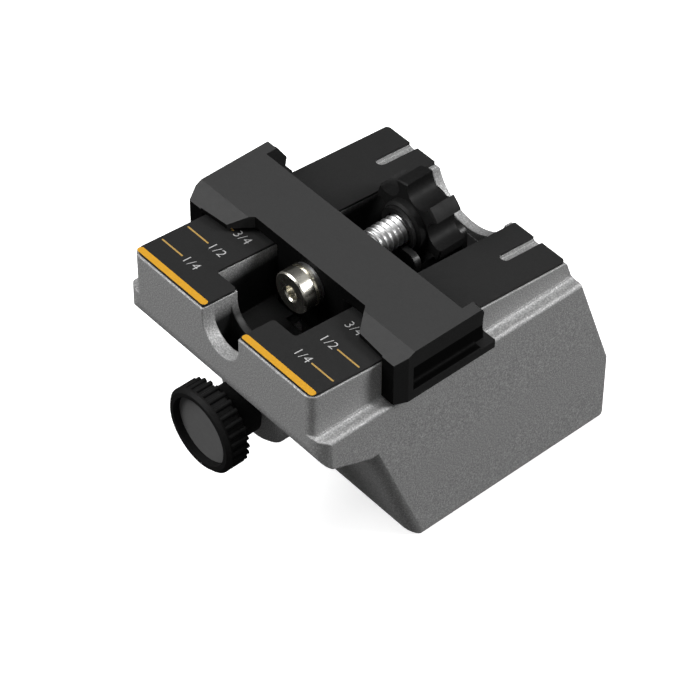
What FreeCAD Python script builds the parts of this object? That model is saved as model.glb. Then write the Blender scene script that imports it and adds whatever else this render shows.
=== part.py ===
import FreeCAD, Part
import math
import os

os.makedirs("parts", exist_ok=True)

V = FreeCAD.Vector

# Frame: X across the jig, Y from the front face to the rear, Z up from the resting face.

ORIGIN_Y = 34.5        # the shared origin lies this far behind the front face

# Body casting
BASE_H = 53.4          # height of the deck's front edge
DECK_TILT = 5.385      # the deck falls this many degrees to the rear
SIDE_X = 29.1          # half width of the lower body at its top
SIDE_DRAFT = 0.5       # extra half width at the bottom
BLOCK_X = 26.1         # half width of the upper block
LEDGE_Z = 42.05        # top of the side ledges
BASE_REAR = 75.2
FOOT_Y = 23.2          # front edge of the foot
THROAT_Y = 12.1        # where the foot's front meets the overhang
THROAT_Z = 31.1
REAR_BREAK_Z = 16.8    # the rear face leans forward above this
DECK_REAR_Y = 64.9
DECK_REAR_Z = 46.7
FRONT_LEAN = (FOOT_Y - THROAT_Y) / THROAT_Z
REAR_LEAN = (BASE_REAR - DECK_REAR_Y) / (DECK_REAR_Z - REAR_BREAK_Z)
TROUGH_X = 11.5        # half width of the centre trough
TROUGH_Y0 = 8.6
TROUGH_Y1 = 63.0
TROUGH_Z = 37.4        # trough floor
CEILING_Z = 34.4       # ceiling of the hollow underside
NOTCH_R = 5.3          # round notch in the front wall
SCOOP_R = 11.0         # round scoop in the rear wall
RELIEF_X = 13.0        # the rear face is cut back behind the scoop
RELIEF_Z = 30.2
SLOT_X = 18.03         # slot at the rear of each deck plate
SLOT_Y = 56.4
SLOT_R = 1.13
GROOVE = 0.8           # depth of the groove in the casting under that slot

# Lead rod and star nut, 1/4-20 thread
ROD_Z = 49.83
ROD_R = 3.175
RUN = 0.05             # radial running clearance
STAR_Y0 = 47.2
STAR_Y1 = 53.8
STAR_R = 9.4
STAR_LOBES = 6
VALLEY_R = 3.2         # hollow between two lobes
STAR_FRONT = 45.2      # front end of the star nut's collar
STAR_REAR = 54.2       # rear end of its short rear collar
COLLAR_R = 5.4
ROD_END = 55.2
BRACKET_Y0 = 42.9
BRACKET_Y1 = 56.5
BRACKET_SCREWS_Y = (46.6, 53.0)

# Fence
FENCE_TOP = 55.4
FENCE_BOTTOM = 52.6
FENCE_X = 31.0
FENCE_REAR = 35.2
FLANGE_X = 28.3        # outside this the leg runs further back than the bar
POCKET_X = 29.0        # floor of the finger pocket
LEG_IN_X = 26.45
LEG_Z0 = 42.96
FENCE_FORWARD = 4.8    # travel towards the front from rest
FENCE_BACK = 7.6       # travel towards the rear from rest
RIB_Y0 = 25.4          # keeper rib in the floor slot
RIB_Y1 = 31.6
SCREW_X = 2.9
SCREW_Y = 28.5

# Clamp, 1/4-20 thread
CLAMP_Z = 27.7
BOSS_R = 10.0
BOSS_Y0 = 7.2
BOSS_Y1 = 19.8
BUSHING_R = 5.0
BUSHING_Y0 = 9.6
KNOB_R = 9.3
KNOB_RIBS = 28
KNOB_CORE_R = 8.75     # between the ribs
HUB_R = 5.6
HUB_Y1 = 5.4


def box(x0, x1, y0, y1, z0, z1):
    return Part.makeBox(x1 - x0, y1 - y0, z1 - z0, V(x0, y0, z0))


def cyl_y(r, y0, y1, z, x=0.0):
    return Part.makeCylinder(r, y1 - y0, V(x, y0, z), V(0, 1, 0))


def cyl_z(r, z0, z1, x, y):
    return Part.makeCylinder(r, z1 - z0, V(x, y, z0), V(0, 0, 1))


def cone_y(r0, r1, y0, y1, z):
    return Part.makeCone(r0, r1, y1 - y0, V(0, y0, z), V(0, 1, 0))


def ring_y(r_in, r_out, y0, y1, z):
    return cyl_y(r_out, y0, y1, z).cut(cyl_y(r_in, y0 - 1, y1 + 1, z))


def rounded_face(points):
    """Planar face through 3D corner points, each given as (vector, corner radius)."""
    edges = []
    ends = []
    n = len(points)
    for i in range(n):
        p, r = points[i]
        a = points[i - 1][0]
        b = points[(i + 1) % n][0]
        if r <= 0:
            ends.append((p, p))
            continue
        u = (a - p).normalize()
        w = (b - p).normalize()
        half = u.getAngle(w) / 2.0
        t = r / math.tan(half)
        s = p + u * t
        e = p + w * t
        bis = (u + w).normalize()
        mid = p + bis * (r / math.sin(half) - r)
        edges.append((i, Part.Arc(s, mid, e).toShape()))
        ends.append((s, e))
    arcs = dict(edges)
    out = []
    for i in range(n):
        if i in arcs:
            out.append(arcs[i])
        start = ends[i][1]
        stop = ends[(i + 1) % n][0]
        if (stop - start).Length > 1e-6:
            out.append(Part.makeLine(start, stop))
    return Part.Face(Part.Wire(out))


def prism_x(points, x0, x1):
    """Extrude a (y, z, radius) outline along X."""
    face = rounded_face([(V(x0, y, z), r) for y, z, r in points])
    return face.extrude(V(x1 - x0, 0, 0))


def prism_y(points, y0, y1):
    """Extrude an (x, z, radius) outline along Y."""
    face = rounded_face([(V(x, y0, z), r) for x, z, r in points])
    return face.extrude(V(0, y1 - y0, 0))


def prism_z(points, z0, z1):
    """Extrude an (x, y, radius) outline along Z."""
    face = rounded_face([(V(x, y, z0), r) for x, y, r in points])
    return face.extrude(V(0, 0, z1 - z0))


def hexagon_y(flats, y0, y1, z):
    r = flats / math.sqrt(3.0)
    pts = []
    for k in range(6):
        a = math.radians(60 * k)
        pts.append((r * math.sin(a), z + r * math.cos(a), 0))
    return prism_y(pts, y0, y1)


def mirrored(shape):
    return shape.mirror(V(0, 0, 0), V(1, 0, 0))


def write(name, shape):
    """Export one piece with the origin under the middle of the whole object."""
    moved = shape.copy()
    moved.translate(V(0, -ORIGIN_Y, 0))
    moved.exportStep("parts/" + name + ".step")


def body_casting():
    # The outer form is where three outlines meet: across, from the side, and from above.
    across = prism_y([
        (SIDE_X + SIDE_DRAFT, 0, 1.0),
        (SIDE_X, LEDGE_Z + 0.15, 0.9),
        (BLOCK_X, LEDGE_Z, 1.4),
        (BLOCK_X, 60, 0),
        (-BLOCK_X, 60, 0),
        (-BLOCK_X, LEDGE_Z, 1.4),
        (-SIDE_X, LEDGE_Z + 0.15, 0.9),
        (-SIDE_X - SIDE_DRAFT, 0, 1.0),
    ], -5, 90)
    side = prism_x([
        (0, BASE_H - 0.6, 0.3),
        (0, 36.04, 5.5),
        (THROAT_Y, THROAT_Z, 2.0),
        (FOOT_Y, 0, 6.0),
        (BASE_REAR, 0, 3.0),
        (BASE_REAR, REAR_BREAK_Z, 4.0),
        (DECK_REAR_Y, DECK_REAR_Z, 0.8),
    ], -40, 40)
    wide = SIDE_X + SIDE_DRAFT
    lower = plan_outline(wide, 0, 4.4, BASE_REAR, 1.0, 0)
    lower = lower.common(plan_outline(wide, -50, 0, BASE_REAR + REAR_BREAK_Z * REAR_LEAN, 1.0, -REAR_LEAN))
    foot = plan_outline(wide, FOOT_Y, 3.5, 200, 0, -FRONT_LEAN)
    overhang = prism_x([
        (-5, 38.08, 0),
        (THROAT_Y, THROAT_Z, 0),
        (90, THROAT_Z, 0),
        (90, 70, 0),
        (-5, 70, 0),
    ], -40, 40)
    lower = lower.common(foot.fuse(overhang))
    upper = plan_outline(BLOCK_X, 0, 1.8, 90, 0, 0)
    step = box(-40, 40, -10, 100, LEDGE_Z + 0.5, 70)
    body = across.common(side).common(lower.cut(step).fuse(upper.common(step)))
    body = body.fuse(boss())
    body = body.cut(hollow())
    body = body.fuse(relief_wall().common(side))
    body = body.cut(trough())
    body = body.fuse(inner_boss())
    body = body.cut(cyl_y(BUSHING_R + 0.02, BUSHING_Y0, 30, CLAMP_Z))
    body = body.cut(cyl_y(3.6, BOSS_Y0 - 1, 30, CLAMP_Z))
    for y in BRACKET_SCREWS_Y:
        body = body.cut(cyl_z(1.6, CEILING_Z - 1, TROUGH_Z + 1, 0, y))
    groove = laid_on_deck(plate_slot(-0.56 - GROOVE, 1))
    body = body.cut(groove).cut(mirrored(groove))
    return body.removeSplitter()


def plan_outline(half_width, front, front_corner, rear, rear_corner, lean):
    """Prism with rounded corners seen from above; it moves in Y by lean for each unit of height."""
    height = 75.0
    face = rounded_face([
        (V(-half_width, front, 0), front_corner),
        (V(half_width, front, 0), front_corner),
        (V(half_width, rear, 0), rear_corner),
        (V(-half_width, rear, 0), rear_corner),
    ])
    return face.extrude(V(0, lean * height, height))


def boss():
    """Round boss under the overhang that carries the clamp screw."""
    cyl = cyl_y(BOSS_R, BOSS_Y0 + 0.8, 20, CLAMP_Z)
    nose = cone_y(BOSS_R - 0.8, BOSS_R, BOSS_Y0, BOSS_Y0 + 0.8, CLAMP_Z)
    return cyl.fuse(nose)


def relief_wall():
    """Wall inside the hollow, round the relief behind the rear scoop."""
    return box(-RELIEF_X - 2.5, RELIEF_X + 2.5, TROUGH_Y1 - 0.6, 75, RELIEF_Z - 2.6, CEILING_Z + 1)


def inner_boss():
    full = cyl_y(8.0, 14, BOSS_Y1, CLAMP_Z)
    return full.common(box(-9, 9, 14, BOSS_Y1, CLAMP_Z - 9, CEILING_Z + 1))


def trough():
    """Everything cut from above: trough, front pocket, notch, rear scoop, rear relief, slot."""
    main = prism_z([
        (-TROUGH_X, TROUGH_Y0, 0.7),
        (TROUGH_X, TROUGH_Y0, 0.7),
        (TROUGH_X, TROUGH_Y1, 0.7),
        (-TROUGH_X, TROUGH_Y1, 0.7),
    ], TROUGH_Z, 60)
    pocket = box(-NOTCH_R, NOTCH_R, 2.9, 7.1, TROUGH_Z, 60)
    notch = cyl_y(NOTCH_R, -1, TROUGH_Y0 + 1, ROD_Z)
    notch_up = box(-NOTCH_R, NOTCH_R, -1, TROUGH_Y0 + 1, ROD_Z, 60)
    scoop = cyl_y(SCOOP_R, TROUGH_Y1 - 1, 70, ROD_Z)
    relief = prism_y([
        (-RELIEF_X, RELIEF_Z, 2.0),
        (RELIEF_X, RELIEF_Z, 2.0),
        (RELIEF_X, 70, 0),
        (-RELIEF_X, 70, 0),
    ], TROUGH_Y1 + 2.0, 80)
    slot = box(-5.0, 5.0, RIB_Y0 - FENCE_FORWARD - 0.4, RIB_Y1 + FENCE_BACK + 0.4, 33, 39)
    cut = main
    for piece in (pocket, notch, notch_up, scoop, relief, slot):
        cut = cut.fuse(piece)
    return cut


def hollow():
    """Open underside, with two cores that run up beside the trough."""
    x = SIDE_X - 2.7
    inside = prism_x([
        (14.1, CEILING_Z, 1.5),
        (26.7, -1, 0),
        (72.2, -1, 0),
        (72.2, 16.0, 2.0),
        (65.9, CEILING_Z, 1.5),
    ], -x, x)
    core = box(14.5, 23.1, 16, 58, CEILING_Z - 1, 43.4)
    return inside.fuse(core).fuse(mirrored(core))


def nut_bracket():
    """Bent bracket on the trough floor; its two upright ears hold the star nut in place."""
    base = box(-9.0, 9.0, BRACKET_Y0, BRACKET_Y1, TROUGH_Z + 0.05, TROUGH_Z + 1.55)
    body = base
    for y0, y1 in ((BRACKET_Y0, STAR_FRONT - 0.85), (STAR_REAR + 0.85, BRACKET_Y1)):
        ear = prism_y([
            (-7.0, TROUGH_Z + 0.05, 0),
            (7.0, TROUGH_Z + 0.05, 0),
            (7.0, 47.6, 2.0),
            (-7.0, 47.6, 2.0),
        ], y0, y1)
        body = body.fuse(ear)
    body = body.cut(cyl_y(ROD_R + 0.5, BRACKET_Y0 - 1, BRACKET_Y1 + 1, ROD_Z))
    for y in BRACKET_SCREWS_Y:
        body = body.cut(cyl_z(1.22, TROUGH_Z - 1, TROUGH_Z + 3, 0, y))
    return body.removeSplitter()


def bracket_screws():
    """Two pan-head screws driven up from the hollow into the bracket."""
    solids = []
    for y in BRACKET_SCREWS_Y:
        shank = cyl_z(1.2, CEILING_Z - 0.5, TROUGH_Z + 1.5, 0, y)
        head = cyl_z(2.6, CEILING_Z - 1.85, CEILING_Z - 0.05, 0, y)
        recess = cyl_z(0.9, CEILING_Z - 2.5, CEILING_Z - 1.0, 0, y)
        solids.append(shank.fuse(head).cut(recess))
    return Part.makeCompound(solids)


def plate_slot(z0, z1):
    """Slot that runs out of the right plate's rear edge, drawn flat."""
    slot = cyl_z(SLOT_R, z0, z1, SLOT_X, SLOT_Y)
    return slot.fuse(box(SLOT_X - SLOT_R, SLOT_X + SLOT_R, SLOT_Y, 70, z0, z1))


def laid_on_deck(flat):
    shape = flat.copy()
    shape.rotate(V(0, 0, 0), V(1, 0, 0), -DECK_TILT)
    shape.translate(V(0, 0, BASE_H))
    return shape


def scale_plate():
    """Right deck plate, drawn flat and then laid on the sloping deck."""
    sheet = prism_z([
        (NOTCH_R + 0.08, 0.4, 0.3),
        (BLOCK_X - 0.3, 0.4, 1.7),
        (BLOCK_X - 0.3, 65.1, 0.9),
        (TROUGH_X, 65.1, 0.4),
        (TROUGH_X, 8.65, 0.8),
        (NOTCH_R + 0.08, 8.65, 0.8),
    ], -0.56, 0)
    return laid_on_deck(sheet.cut(plate_slot(-2, 1)))


def fence_bar():
    slab = prism_z([
        (-29.75, 16.9, 0.2),
        (-19.3, 17.65, 0.3),
        (-16.0, 22.05, 0.5),
        (16.0, 22.05, 0.5),
        (19.3, 17.65, 0.3),
        (29.75, 16.9, 0.2),
        (FENCE_X, 19.55, 0.2),
        (FENCE_X, FENCE_REAR, 0),
        (-FENCE_X, FENCE_REAR, 0),
        (-FENCE_X, 19.55, 0.2),
    ], FENCE_BOTTOM, FENCE_TOP)
    leg = fence_leg()
    lug = box(-9.5, 9.5, 22.05, 32.0, 37.8, FENCE_BOTTOM + 0.5)
    body = slab.fuse(leg).fuse(mirrored(leg)).fuse(lug)
    # Sloping front of the two ears.
    slope = prism_x([(10.0, 49.67, 0), (22.0, 55.92, 0), (22.0, 60, 0), (10.0, 60, 0)], -40, 40)
    body = body.cut(slope)
    body = body.cut(cyl_y(3.25, 20, 33, ROD_Z))
    # Room for the lock nut behind the lug.
    body = body.cut(cyl_y(5.1, 32.0, 36, ROD_Z))
    for x in (-SCREW_X, SCREW_X):
        body = body.cut(cyl_z(1.52, 37, 45.1, x, SCREW_Y))
    return body.removeSplitter()


def fence_leg():
    """Right leg: a web beside the casting, with an open finger pocket on its outside."""
    plan = prism_z([
        (LEG_IN_X, 16.95, 0),
        (29.75, 16.9, 0.2),
        (FENCE_X, 19.55, 0.2),
        (FENCE_X, 42.0, 0.6),
        (LEG_IN_X, 42.0, 0),
    ], LEG_Z0, FENCE_TOP)
    web = prism_x([
        (10, LEG_Z0, 0),
        (42.0, LEG_Z0, 0.4),
        (42.0, 44.6, 0.3),
        (40.4, 44.6, 0),
        (40.2, 49.6, 0.5),
        (FENCE_REAR, 49.6, 0.5),
        (FENCE_REAR, FENCE_TOP, 0),
        (10, FENCE_TOP, 0),
    ], 20, FLANGE_X)
    skin = prism_x([
        (10, LEG_Z0, 0),
        (42.0, LEG_Z0, 0.4),
        (42.0, 44.6, 0.3),
        (40.4, 44.6, 0),
        (40.0, 49.3, 1.0),
        (40.4, 51.6, 0.8),
        (38.0, FENCE_TOP, 0.5),
        (10, FENCE_TOP, 0),
    ], FLANGE_X, POCKET_X)
    flange = prism_x([
        (10, LEG_Z0, 0),
        (42.0, LEG_Z0, 0.4),
        (42.0, 44.6, 0.3),
        (38.1, 44.6, 0),
        (38.2, 54.2, 0.6),
        (38.0, FENCE_TOP, 0.5),
        (10, FENCE_TOP, 0),
    ], POCKET_X, 40)
    pocket = prism_y([
        (POCKET_X, 45.0, 0.8),
        (33, 45.0, 0),
        (33, 51.0, 0),
        (POCKET_X, 51.5, 1.2),
    ], 20.8, 50)
    return plan.common(web.fuse(skin).fuse(flange)).cut(pocket)


def lead_rod():
    rod = cyl_y(ROD_R, 20.0, ROD_END - 0.6, ROD_Z)
    return rod.fuse(cone_y(ROD_R, ROD_R - 0.6, ROD_END - 0.6, ROD_END, ROD_Z))


def rod_head():
    head = cone_y(4.2, 4.5, 17.2, 17.5, ROD_Z)
    head = head.fuse(cyl_y(4.5, 17.5, 20.05, ROD_Z))
    head = head.fuse(cone_y(4.5, 4.35, 20.05, 20.2, ROD_Z))
    head = head.fuse(cyl_y(3.9, 20.2, 20.7, ROD_Z))
    head = head.fuse(cyl_y(4.5, 20.7, 21.3, ROD_Z))
    head = head.cut(cyl_y(1.6, 17.0, 19.2, ROD_Z))
    head = head.cut(cone_y(1.9, 1.6, 17.2, 17.5, ROD_Z))
    return head.cut(cyl_y(ROD_R + 0.025, 19.95, 23, ROD_Z)).removeSplitter()


def star_nut():
    star = cyl_y(STAR_R, STAR_Y0 + 0.3, STAR_Y1 - 0.3, ROD_Z)
    star = star.fuse(cone_y(STAR_R - 0.3, STAR_R, STAR_Y0, STAR_Y0 + 0.3, ROD_Z))
    star = star.fuse(cone_y(STAR_R, STAR_R - 0.3, STAR_Y1 - 0.3, STAR_Y1, ROD_Z))
    valley = cyl_y(VALLEY_R, STAR_Y0 - 1, STAR_Y1 + 1, ROD_Z + 9.0)
    valley = valley.fuse(box(-VALLEY_R, VALLEY_R, STAR_Y0 - 1, STAR_Y1 + 1, ROD_Z + 9.0, ROD_Z + 12))
    for k in range(STAR_LOBES):
        cut = valley.copy()
        cut.rotate(V(0, 0, ROD_Z), V(0, 1, 0), -13 + 30 + 360.0 * k / STAR_LOBES)
        star = star.cut(cut)
    star = star.fuse(cone_y(COLLAR_R - 0.5, COLLAR_R, STAR_FRONT, STAR_FRONT + 0.5, ROD_Z))
    star = star.fuse(cyl_y(COLLAR_R, STAR_FRONT + 0.5, STAR_Y0 + 0.1, ROD_Z))
    star = star.fuse(cyl_y(4.9, STAR_Y1 - 0.1, STAR_REAR, ROD_Z))
    star = star.cut(cyl_y(ROD_R + 0.4, 40, 60, ROD_Z))
    return star.cut(cyl_y(4.62, 45.6, 53.4, ROD_Z)).removeSplitter()


def keeper_plate():
    """Plate under the trough floor, with a rib that rises through the floor slot."""
    body = prism_z([(-8, 25, 1), (8, 25, 1), (8, 32.5, 1), (-8, 32.5, 1)], 32.0, 34.0)
    body = body.fuse(box(-4.6, 4.6, RIB_Y0, RIB_Y1, 33.5, 37.75))
    for x in (-SCREW_X, SCREW_X):
        body = body.cut(cyl_z(1.6, 30, 40, x, SCREW_Y))
        body = body.cut(Part.makeCone(2.8, 1.5, 1.3, V(x, SCREW_Y, 32.0), V(0, 0, 1)))
    return body


def keeper_screws():
    solids = []
    for x in (-SCREW_X, SCREW_X):
        shank = cyl_z(1.5, 32.2, 45.0, x, SCREW_Y)
        head = Part.makeCone(2.7, 1.4, 1.3, V(x, SCREW_Y, 32.05), V(0, 0, 1))
        recess = cyl_z(0.9, 31.5, 32.9, x, SCREW_Y)
        solids.append(shank.fuse(head).cut(recess))
    return Part.makeCompound(solids)


def clamp_knob():
    knob = cone_y(KNOB_R - 0.8, KNOB_R, -6.2, -5.5, CLAMP_Z)
    knob = knob.fuse(cyl_y(KNOB_R, -5.5, -5.1, CLAMP_Z))
    knob = knob.fuse(cyl_y(KNOB_CORE_R, -5.2, -1.4, CLAMP_Z))
    knob = knob.fuse(cone_y(KNOB_CORE_R, KNOB_CORE_R - 0.8, -1.4, -0.6, CLAMP_Z))
    for k in range(KNOB_RIBS):
        a = 2 * math.pi * k / KNOB_RIBS
        x = KNOB_CORE_R * math.sin(a)
        z = CLAMP_Z + KNOB_CORE_R * math.cos(a)
        knob = knob.fuse(cyl_y(KNOB_R - KNOB_CORE_R - 0.02, -5.2, -1.0, z, x))
    knob = knob.fuse(cyl_y(HUB_R, -0.7, HUB_Y1 - 0.5, CLAMP_Z))
    knob = knob.fuse(cone_y(HUB_R, HUB_R - 0.5, HUB_Y1 - 0.5, HUB_Y1, CLAMP_Z))
    knob = knob.cut(cyl_y(7.56, -7, -4.7, CLAMP_Z))
    knob = knob.cut(cyl_y(7.45, -7, -3.9, CLAMP_Z))
    knob = knob.cut(cyl_y(6.0, -7, -0.9, CLAMP_Z))
    return knob.cut(cyl_y(ROD_R + 0.025, -7, 7, CLAMP_Z)).removeSplitter()


def clamp_screw():
    screw = cyl_y(ROD_R, -3.85, 30.0, CLAMP_Z)
    tip = cyl_y(2.4, 30.0, 35.3, CLAMP_Z).cut(ring_y(1.95, 3, 34.05, 34.85, CLAMP_Z))
    return screw.fuse(tip).removeSplitter()


def clamp_shoe():
    shoe = prism_y([(-12, 11.4, 1.5), (12, 11.4, 1.5), (12, 31.5, 1.5), (-12, 31.5, 1.5)], 30.05, 34.0)
    return shoe.cut(cyl_y(2.4 + RUN, 29, 35, CLAMP_Z))


def shoe_facing():
    pad = prism_y([(-11, 12.4, 1.5), (11, 12.4, 1.5), (11, 30.5, 1.5), (-11, 30.5, 1.5)], 34.05, 36.3)
    return pad.cut(cyl_y(2.6, 33, 38, CLAMP_Z)).cut(box(-4.6, 4.6, 33, 38, CLAMP_Z - 4.6, 40))


plate = scale_plate()
write("body_casting", body_casting())
write("scale_plate_right", plate)
write("scale_plate_left", mirrored(plate))
write("fence_bar", fence_bar())
write("lead_rod", lead_rod())
write("rod_head", rod_head())
write("rod_head_washer", ring_y(3.25, 4.3, 21.35, 22.0, ROD_Z))
write("rod_lock_nut", hexagon_y(8.4, 32.05, 34.4, ROD_Z).cut(cyl_y(ROD_R + 0.025, 31, 36, ROD_Z)))
write("keeper_plate", keeper_plate())
write("keeper_screws", keeper_screws())
write("star_nut", star_nut())
write("nut_bracket", nut_bracket())
write("bracket_screws", bracket_screws())
write("star_insert", ring_y(ROD_R + RUN, 4.6, 45.6, 53.4, ROD_Z))
write("thrust_washer_front", ring_y(ROD_R + 0.3, 4.7, STAR_FRONT - 0.8, STAR_FRONT - 0.05, ROD_Z))
write("thrust_washer_rear", ring_y(ROD_R + 0.3, 4.7, STAR_REAR + 0.05, STAR_REAR + 0.8, ROD_Z))
write("clamp_knob", clamp_knob())
write("knob_face_disc", cyl_y(7.43, -4.7, -3.95, CLAMP_Z))
write("knob_lock_nut", hexagon_y(10.0, -3.8, -1.0, CLAMP_Z).cut(cyl_y(ROD_R + 0.025, -5, 0, CLAMP_Z)))
write("clamp_screw", clamp_screw())
write("boss_bushing", ring_y(ROD_R + RUN, BUSHING_R, BUSHING_Y0 + 0.05, BOSS_Y1 - 0.2, CLAMP_Z))
write("clamp_shoe", clamp_shoe())
write("shoe_facing", shoe_facing())
write("shoe_clip", ring_y(2.0, 4.0, 34.1, 34.8, CLAMP_Z))
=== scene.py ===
import math

import bpy
from mathutils import Matrix, Vector


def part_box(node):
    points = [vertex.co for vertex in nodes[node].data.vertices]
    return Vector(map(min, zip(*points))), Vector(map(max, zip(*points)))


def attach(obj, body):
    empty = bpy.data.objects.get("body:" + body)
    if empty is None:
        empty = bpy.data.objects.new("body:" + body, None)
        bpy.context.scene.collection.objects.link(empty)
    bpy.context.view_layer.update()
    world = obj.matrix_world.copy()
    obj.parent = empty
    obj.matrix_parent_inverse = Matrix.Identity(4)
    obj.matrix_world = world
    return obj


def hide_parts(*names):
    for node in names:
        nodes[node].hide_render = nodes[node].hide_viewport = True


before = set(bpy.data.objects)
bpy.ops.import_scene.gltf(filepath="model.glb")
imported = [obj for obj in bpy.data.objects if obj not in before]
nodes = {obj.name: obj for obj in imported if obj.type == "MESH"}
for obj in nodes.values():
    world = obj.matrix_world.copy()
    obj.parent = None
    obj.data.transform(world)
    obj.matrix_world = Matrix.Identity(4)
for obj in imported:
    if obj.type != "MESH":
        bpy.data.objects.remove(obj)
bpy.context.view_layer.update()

MM = 0.001
TILT = math.radians(5.385)      # fall of the deck towards the rear
PLATE_LIP = 0.4 * MM            # from the front face to the plates' front edge
PLATE_T = 0.56 * MM
INK = 0.02 * MM                 # thickness of the printed marks
QUARTER_INCH = 6.35 * MM
PITCH = 1.27 * MM               # 1/4-20 thread
THREAD_DEPTH = 0.62 * MM
PLAY = 0.05 * MM                # between the clamp screw's steps and the pieces that sit on them
TICK_START = 18.8 * MM          # ticks and numbers, measured sideways from the middle of the jig
TICK_END = 25.05 * MM
TICK_HALF = 0.18 * MM
NUMBER_X = 16.3 * MM
STRIPE_FRONT = 0.42 * MM        # the yellow stripe, measured back from the front face
STRIPE_REAR = 1.95 * MM
STRIPE_INSET = 0.1 * MM


# Materials

def node_tree(name):
    mat = bpy.data.materials.new(name)
    mat.use_nodes = True
    tree = mat.node_tree
    shader = tree.nodes["Principled BSDF"]
    return mat, tree, shader


def coords(tree):
    return tree.nodes.new("ShaderNodeTexCoord").outputs["Object"]


def noise(tree, vector, size, detail=3.0):
    """Noise whose features are about this many metres across."""
    n = tree.nodes.new("ShaderNodeTexNoise")
    n.inputs["Scale"].default_value = 1.0 / size
    n.inputs["Detail"].default_value = detail
    tree.links.new(vector, n.inputs["Vector"])
    return n.outputs["Fac"]


def ramp(tree, fac, stops):
    r = tree.nodes.new("ShaderNodeValToRGB")
    elements = r.color_ramp.elements
    while len(elements) < len(stops):
        elements.new(0.5)
    for element, (place, colour) in zip(elements, stops):
        element.position = place
        element.color = (*colour, 1.0)
    tree.links.new(fac, r.inputs["Fac"])
    return r.outputs["Color"]


def spread(tree, fac, low, high, start=0.3, stop=0.7):
    m = tree.nodes.new("ShaderNodeMapRange")
    m.inputs["From Min"].default_value = start
    m.inputs["From Max"].default_value = stop
    m.inputs["To Min"].default_value = low
    m.inputs["To Max"].default_value = high
    tree.links.new(fac, m.inputs["Value"])
    return m.outputs["Result"]


def bump(tree, shader, height, distance, strength=1.0, rounding=0.0):
    """Relief from a height, with edges shaded as if rounded to the given radius."""
    b = tree.nodes.new("ShaderNodeBump")
    if rounding:
        edge = tree.nodes.new("ShaderNodeBevel")
        edge.inputs["Radius"].default_value = rounding
        tree.links.new(edge.outputs["Normal"], b.inputs["Normal"])
    b.inputs["Strength"].default_value = strength
    b.inputs["Distance"].default_value = distance
    tree.links.new(height, b.inputs["Height"])
    tree.links.new(b.outputs["Normal"], shader.inputs["Normal"])


def surface(name, dark, light, grain, roughness, metallic=0.0, relief=0.0, gloss=0.5):
    """A finish whose colour wanders between dark and light, with fine grain and relief."""
    mat, tree, shader = node_tree(name)
    place = coords(tree)
    fac = noise(tree, place, grain)
    colour = ramp(tree, fac, [(0.3, dark), (0.7, light)])
    tree.links.new(colour, shader.inputs["Base Color"])
    low, high = roughness
    tree.links.new(spread(tree, noise(tree, place, grain * 4), low, high), shader.inputs["Roughness"])
    shader.inputs["Metallic"].default_value = metallic
    shader.inputs["Specular IOR Level"].default_value = gloss
    if relief:
        bump(tree, shader, fac, relief)
    return mat


def grey(value):
    return (value, value, value)


def inside_band(tree, value, low, high, fade):
    """1 where the value lies between low and high, falling to 0 over the fade."""
    rise = spread(tree, value, 0.0, 1.0, low - fade, low)
    fall = spread(tree, value, 1.0, 0.0, high, high + fade)
    return math_node(tree, "MULTIPLY", rise, fall)


def math_node(tree, operation, *values):
    """One maths node, fed by the given sockets."""
    node = tree.nodes.new("ShaderNodeMath")
    node.operation = operation
    for slot, value in enumerate(values):
        tree.links.new(value, node.inputs[slot])
    return node.outputs["Value"]


def mixed(tree, factor, first, second):
    """The first colour where the factor is 0, the second where it is 1."""
    mix = tree.nodes.new("ShaderNodeMix")
    mix.data_type = "RGBA"
    colour_a, colour_b, colour_out = 6, 7, 2
    tree.links.new(factor, mix.inputs["Factor"])
    tree.links.new(first, mix.inputs[colour_a])
    tree.links.new(second, mix.inputs[colour_b])
    return mix.outputs[colour_out]


def axes(tree, vector):
    split = tree.nodes.new("ShaderNodeSeparateXYZ")
    tree.links.new(vector, split.inputs["Vector"])
    return split.outputs


def casting_finish():
    """Grey enamel with a fine, faint metal fleck. The trough's inside is given painted shade: near black from
    its floor up to 47 mm, fading out above.
    """
    mat, tree, shader = node_tree("casting_enamel")
    place = coords(tree)
    fine = noise(tree, place, 0.30 * MM, 2.0)
    grey_paint = ramp(tree, fine, [(0.30, grey(0.22)), (0.52, grey(0.32)), (0.72, grey(0.52))])
    # Painted shade: a near-black colour for the inside of the trough, where shade falls.
    trough_painted_shade = ramp(tree, fine, [(0.30, grey(0.006)), (0.72, grey(0.010))])
    at = axes(tree, place)
    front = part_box("body_casting")[0].y
    trough_x = 11.6 * MM
    trough_floor = 37.2 * MM
    across = inside_band(tree, at["X"], -trough_x, trough_x, 0.1 * MM)
    along = inside_band(tree, at["Y"], front + 3.1 * MM, front + 62.8 * MM, 0.3 * MM)
    # The painted shade is full from the trough floor up to 47 mm and fades out towards the deck.
    high = inside_band(tree, at["Z"], trough_floor, 47.0 * MM, 4.0 * MM)
    trough_shade_mask = math_node(tree, "MULTIPLY", math_node(tree, "MULTIPLY", across, along), high)
    tree.links.new(mixed(tree, trough_shade_mask, grey_paint, trough_painted_shade), shader.inputs["Base Color"])
    tree.links.new(spread(tree, fine, 0.58, 0.46), shader.inputs["Roughness"])
    shader.inputs["Metallic"].default_value = 0.25
    bump(tree, shader, fine, 0.02 * MM, 0.5, rounding=0.5 * MM)
    return mat


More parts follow.
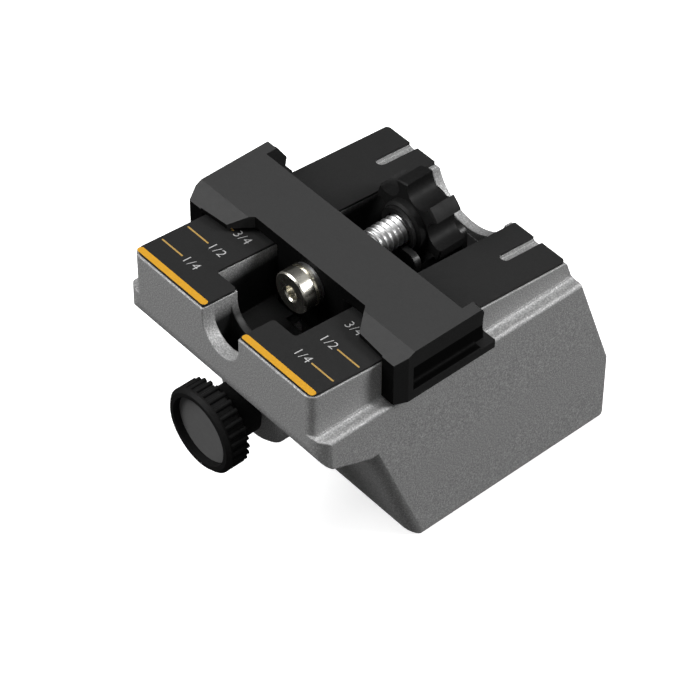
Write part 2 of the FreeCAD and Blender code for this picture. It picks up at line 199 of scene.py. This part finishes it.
def fence_finish():
    """Satin black with painted light: the bar's upward faces are painted lighter, as if lit from above, and
    the front walls and the finger pockets are painted darkest as shade.
    """
    mat, tree, shader = node_tree("fence_black")
    place = coords(tree)
    fine = noise(tree, place, 0.30 * MM)
    # Painted light: a lighter black for the bar's upward faces and a darker one for its sides, standing in
    # for light falling from above.
    top = ramp(tree, fine, [(0.3, grey(0.030)), (0.7, grey(0.034))])
    side = ramp(tree, fine, [(0.3, grey(0.011)), (0.7, grey(0.015))])
    # Painted shade: near black for the front walls and the inside of the finger pockets.
    painted_shade_black = ramp(tree, fine, [(0.3, grey(0.002)), (0.7, grey(0.003))])
    facing = axes(tree, tree.nodes.new("ShaderNodeTexCoord").outputs["Normal"])
    at = axes(tree, place)
    low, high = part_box("fence_bar")
    # Upward-facing faces near the top of the bar take the painted lighter black.
    upward = spread(tree, facing["Z"], 0.0, 1.0, 0.35, 0.65)
    above = spread(tree, at["Z"], 0.0, 1.0, 50.5 * MM, 52.5 * MM)
    body = mixed(tree, math_node(tree, "MULTIPLY", upward, above), side, top)
    # Painted shade inside the finger pockets of the legs.
    outward = math_node(tree, "ABSOLUTE", at["X"])
    deep = inside_band(tree, outward, high.x - 2.4 * MM, high.x - 0.3 * MM, 0.1 * MM)
    behind = spread(tree, at["Y"], 0.0, 1.0, low.y + 3.7 * MM, low.y + 3.9 * MM)
    open_height = inside_band(tree, at["Z"], 44.9 * MM, 51.6 * MM, 0.1 * MM)
    pocket_shade = math_node(tree, "MULTIPLY", math_node(tree, "MULTIPLY", deep, behind), open_height)
    # Painted shade on the front-facing walls. The combined shade mask also lowers the gloss.
    front_wall_shade = spread(tree, facing["Y"], 1.0, 0.0, -0.95, -0.75)
    dark = math_node(tree, "MAXIMUM", pocket_shade, front_wall_shade)
    tree.links.new(mixed(tree, dark, body, painted_shade_black), shader.inputs["Base Color"])
    tree.links.new(spread(tree, noise(tree, place, 1.2 * MM), 0.5, 0.6), shader.inputs["Roughness"])
    tree.links.new(spread(tree, dark, 0.2, 0.03, 0.0, 1.0), shader.inputs["Specular IOR Level"])
    bump(tree, shader, fine, 0.004 * MM)
    return mat


def floor_finish():
    """Pale studio floor that glows a little, so that it stays even under soft light."""
    mat, tree, shader = node_tree("floor_pale")
    colour = ramp(tree, noise(tree, coords(tree), 0.05), [(0.3, grey(0.88)), (0.7, grey(0.90))])
    tree.links.new(colour, shader.inputs["Base Color"])
    tree.links.new(colour, shader.inputs["Emission Color"])
    shader.inputs["Emission Strength"].default_value = 0.72
    shader.inputs["Roughness"].default_value = 0.9
    return mat


def assign(mat, *names):
    for name in names:
        data = nodes[name].data
        data.materials.clear()
        data.materials.append(mat)


casting = casting_finish()
plate_black = surface(
    "plate_black", grey(0.011), grey(0.0145), 0.25 * MM, (0.5, 0.6), relief=0.005 * MM, gloss=0.3)
fence_black = fence_finish()
moulded = surface("moulded_black", grey(0.006), grey(0.009), 0.5 * MM, (0.48, 0.56), gloss=0.12)
disc_grey = surface("disc_grey", grey(0.095), grey(0.105), 0.5 * MM, (0.5, 0.6), gloss=0.3)
zinc = surface("zinc", grey(0.55), grey(0.68), 0.6 * MM, (0.32, 0.42), metallic=1.0)
nickel = surface("nickel", (0.66, 0.64, 0.57), (0.76, 0.74, 0.67), 0.8 * MM, (0.24, 0.30), metallic=1.0)
brass = surface("brass", (0.60, 0.43, 0.17), (0.76, 0.57, 0.26), 0.5 * MM, (0.25, 0.4), metallic=1.0)
oxide = surface("black_oxide", grey(0.02), grey(0.035), 0.4 * MM, (0.35, 0.5), metallic=0.8)
rubber = surface("pad_rubber", grey(0.015), grey(0.03), 0.5 * MM, (0.7, 0.85), relief=0.02 * MM)
stripe_yellow = surface("stripe_yellow", (0.50, 0.25, 0.010), (0.56, 0.28, 0.013), 0.4 * MM, (0.5, 0.6))
tick_tan = surface("tick_tan", (0.32, 0.20, 0.05), (0.40, 0.25, 0.07), 0.3 * MM, (0.5, 0.6))
number_grey = surface("number_grey", grey(0.36), grey(0.44), 0.3 * MM, (0.5, 0.6))

assign(casting, "body_casting")
assign(plate_black, "scale_plate_left", "scale_plate_right")
assign(fence_black, "fence_bar")
assign(moulded, "star_nut", "clamp_knob")
assign(disc_grey, "knob_face_disc")
assign(nickel, "rod_head")
assign(zinc, "rod_head_washer", "rod_lock_nut", "knob_lock_nut", "clamp_shoe")
assign(zinc, "keeper_plate", "keeper_screws", "bracket_screws")
assign(brass, "star_insert", "boss_bushing")
assign(oxide, "thrust_washer_front", "thrust_washer_rear", "shoe_clip", "nut_bracket")
assign(rubber, "shoe_facing")


# Pieces

def new_mesh(name, verts, faces, mat, smooth=True):
    data = bpy.data.meshes.new(name)
    data.from_pydata(verts, [], faces)
    data.polygons.foreach_set("use_smooth", [smooth] * len(faces))
    data.materials.append(mat)
    data.update()
    obj = bpy.data.objects.new(name, data)
    bpy.context.scene.collection.objects.link(obj)
    return obj


def threaded_rod(name, axis_z, sections, mat):
    """A rod along Y. Each section is (start, end, radius, thread depth), and a depth of 0 is a plain step."""
    around = 48             # points round the rod
    rows_per_turn = 10
    crest = 0.12            # share of half a pitch that is flat, at the crest and again at the root
    verts = []
    faces = []
    for start, end, radius, depth in sections:
        rows = max(2, int(round((end - start) / PITCH * rows_per_turn)) + 1) if depth else 2
        for i in range(rows):
            y = start + (end - start) * i / (rows - 1)
            fade = min(1.0, (y - start) / PITCH, (end - y) / PITCH) if depth else 0.0
            for k in range(around):
                turn = k / around
                wave = abs(((y / PITCH - turn) % 1.0) * 2.0 - 1.0)
                flank = min(1.0, max(0.0, (wave - crest) / (1.0 - 2.0 * crest)))
                r = radius - flank * depth * fade
                a = 2 * math.pi * turn
                verts.append((r * math.sin(a), y, axis_z + r * math.cos(a)))
    last = len(verts) - around
    for i in range(0, last, around):
        for k in range(around):
            a = i + k
            b = i + (k + 1) % around
            faces.append((a, a + around, b + around, b))
    faces.append(tuple(range(around)))
    faces.append(tuple(range(last, last + around))[::-1])
    obj = new_mesh(name, verts, faces, mat)
    for end_cap in (-2, -1):
        obj.data.polygons[len(faces) + end_cap].use_smooth = False
    return obj


def make_rods():
    """The lead rod and the clamp screw, which are plain cylinders in the CAD, with their threads."""
    lo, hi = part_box("lead_rod")
    r = (hi.x - lo.x) / 2
    tip = 0.6 * MM
    thread_start = lo.y + 0.4 * MM
    rod = threaded_rod("lead_rod_thread", (hi.z + lo.z) / 2, [
        (lo.y, thread_start, r, 0),
        (thread_start, hi.y - tip, r, THREAD_DEPTH),
        (hi.y, hi.y, r - tip, 0),
    ], zinc)
    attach(rod, "fence")
    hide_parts("lead_rod")

    lo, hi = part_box("clamp_screw")
    thread_start = lo.y + 9.0 * MM
    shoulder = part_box("clamp_shoe")[0].y - PLAY
    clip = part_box("shoe_clip")
    neck = 2.4 * MM
    groove = 1.95 * MM
    screw = threaded_rod("clamp_screw_thread", (hi.z + lo.z) / 2, [
        (lo.y, thread_start, r, 0),
        (thread_start, shoulder, r, THREAD_DEPTH),
        (shoulder, clip[0].y - PLAY, neck, 0),
        (clip[0].y - PLAY, clip[1].y + PLAY, groove, 0),
        (clip[1].y + PLAY, hi.y, neck, 0),
    ], zinc)
    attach(screw, "knob")
    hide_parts("clamp_screw")


def deck_frame():
    """Origin on the deck plates' top plane above the front face, and its axis towards the rear."""
    lo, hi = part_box("scale_plate_right")
    top_edge = Vector((0, lo.y + PLATE_T * math.sin(TILT), hi.z))
    along = Vector((0, math.cos(TILT), -math.sin(TILT)))
    return top_edge - along * PLATE_LIP, along


deck_origin, deck_along = deck_frame()
deck_up = Vector((0, math.sin(TILT), math.cos(TILT)))


def deck_point(x, v, height=0.0):
    return deck_origin + Vector((x, 0, 0)) + deck_along * v + deck_up * height


def rounded_outline(x0, x1, v0, v1, r):
    """Corners of a rounded rectangle in deck coordinates."""
    points = []
    centres = [(x1 - r, v1 - r), (x0 + r, v1 - r), (x0 + r, v0 + r), (x1 - r, v0 + r)]
    for quarter, (cx, cv) in enumerate(centres):
        for k in range(7):
            a = math.pi / 2 * (quarter + k / 6)
            points.append((cx + r * math.cos(a), cv + r * math.sin(a)))
    return points


def ink(name, outline, mat):
    """A printed mark: a thin raised patch on the deck."""
    n = len(outline)
    low = [deck_point(x, v, -0.01 * MM) for x, v in outline]
    high = [deck_point(x, v, INK) for x, v in outline]
    faces = [tuple(range(n, 2 * n)), tuple(range(n))[::-1]]
    for k in range(n):
        faces.append((k, (k + 1) % n, n + (k + 1) % n, n + k))
    obj = new_mesh(name, low + high, faces, mat, smooth=False)
    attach(obj, "base")


def number(name, text, x, v, size):
    data = bpy.data.curves.new(name, "FONT")
    data.body = text
    data.size = size
    data.align_x = "CENTER"
    data.align_y = "CENTER"
    data.extrude = INK / 2
    data.offset = -0.035 * MM
    data.space_character = 1.1
    data.materials.append(number_grey)
    obj = bpy.data.objects.new(name, data)
    bpy.context.scene.collection.objects.link(obj)
    obj.location = deck_point(x, v, INK / 2)
    obj.rotation_euler = (-TILT, 0, 0)
    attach(obj, "base")


def make_scale():
    """A yellow edge stripe, three ticks and three numbers on each plate."""
    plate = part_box("scale_plate_right")
    for side, word in ((-1, "left"), (1, "right")):
        x0, x1 = sorted((side * (plate[0].x + STRIPE_INSET), side * (plate[1].x - STRIPE_INSET)))
        stripe = rounded_outline(x0, x1, STRIPE_FRONT, STRIPE_REAR, 0.65 * MM)
        ink("stripe_" + word, stripe, stripe_yellow)
        x0, x1 = sorted((side * TICK_START, side * TICK_END))
        for k, text in enumerate(("1/4", "1/2", "3/4")):
            v = QUARTER_INCH * (k + 1)
            tick = rounded_outline(x0, x1, v - TICK_HALF, v + TICK_HALF, 0.17 * MM)
            ink("tick_%s_%d" % (word, k + 1), tick, tick_tan)
            number("number_%s_%d" % (word, k + 1), text, side * NUMBER_X, v, 3.0 * MM)


make_rods()
make_scale()


# Stage

def make_floor():
    half = 4.0
    corners = [(-half, -half, 0), (half, -half, 0), (half, half, 0), (-half, half, 0)]
    obj = new_mesh("floor", corners, [(0, 1, 2, 3)], floor_finish(), smooth=False)
    obj.visible_diffuse = False
    obj.visible_glossy = False


def area_light(name, place, aim, size, power):
    data = bpy.data.lights.new(name, "AREA")
    data.shape = "DISK"
    data.size = size
    data.energy = power
    obj = bpy.data.objects.new(name, data)
    bpy.context.scene.collection.objects.link(obj)
    obj.location = place
    obj.rotation_mode = "QUATERNION"
    obj.rotation_quaternion = (Vector(aim) - Vector(place)).to_track_quat("-Z", "Y")


def make_light():
    """Soft light from above: the sky is dim at the horizon and bright overhead."""
    world = bpy.data.worlds.new("studio")
    world.use_nodes = True
    tree = world.node_tree
    place = tree.nodes.new("ShaderNodeTexCoord").outputs["Generated"]
    split = tree.nodes.new("ShaderNodeSeparateXYZ")
    tree.links.new(place, split.inputs["Vector"])
    sky = tree.nodes["Background"]
    glow = ramp(tree, split.outputs["Z"], [(0.0, grey(0.03)), (0.25, grey(0.08)), (0.9, grey(0.13))])
    tree.links.new(glow, sky.inputs["Color"])
    sky.inputs["Strength"].default_value = 1.0
    bpy.context.scene.world = world
    aim = (0, 0, 0.04)
    area_light("rear_right", (0.62, 0.55, 0.60), aim, 0.36, 8.0)
    area_light("top", (0.02, 0.05, 1.0), aim, 0.36, 3.0)
    area_light("front_left", (-0.46, -0.59, 0.66), aim, 0.70, 9.5)
    area_light("front_right", (0.66, -0.62, 0.30), aim, 0.70, 1.3)


def make_camera():
    azimuth = math.radians(48.627)
    elevation = math.radians(45.445)
    roll = math.radians(0.374)
    distance = 647.98 * MM
    target = Vector((0, -4.5, 41.4)) * MM
    shift_right = 1.699 * MM
    shift_up = -10.769 * MM
    back = Vector((
        math.sin(azimuth) * math.cos(elevation),
        -math.cos(azimuth) * math.cos(elevation),
        math.sin(elevation),
    ))
    right = Vector((math.cos(azimuth), math.sin(azimuth), 0))
    up = back.cross(right)
    turned_right = right * math.cos(roll) + up * math.sin(roll)
    turned_up = up * math.cos(roll) - right * math.sin(roll)
    data = bpy.data.cameras.new("camera")
    data.sensor_width = 36.0
    data.lens = 172.6
    data.clip_start = 0.05
    data.clip_end = 20.0
    obj = bpy.data.objects.new("camera", data)
    bpy.context.scene.collection.objects.link(obj)
    place = target + turned_right * shift_right + turned_up * shift_up + back * distance
    spin = Matrix((turned_right, turned_up, back)).transposed().to_4x4()
    obj.matrix_world = Matrix.Translation(place) @ spin
    bpy.context.scene.camera = obj


make_floor()
make_light()
make_camera()
bpy.context.scene.view_settings.view_transform = "Standard"
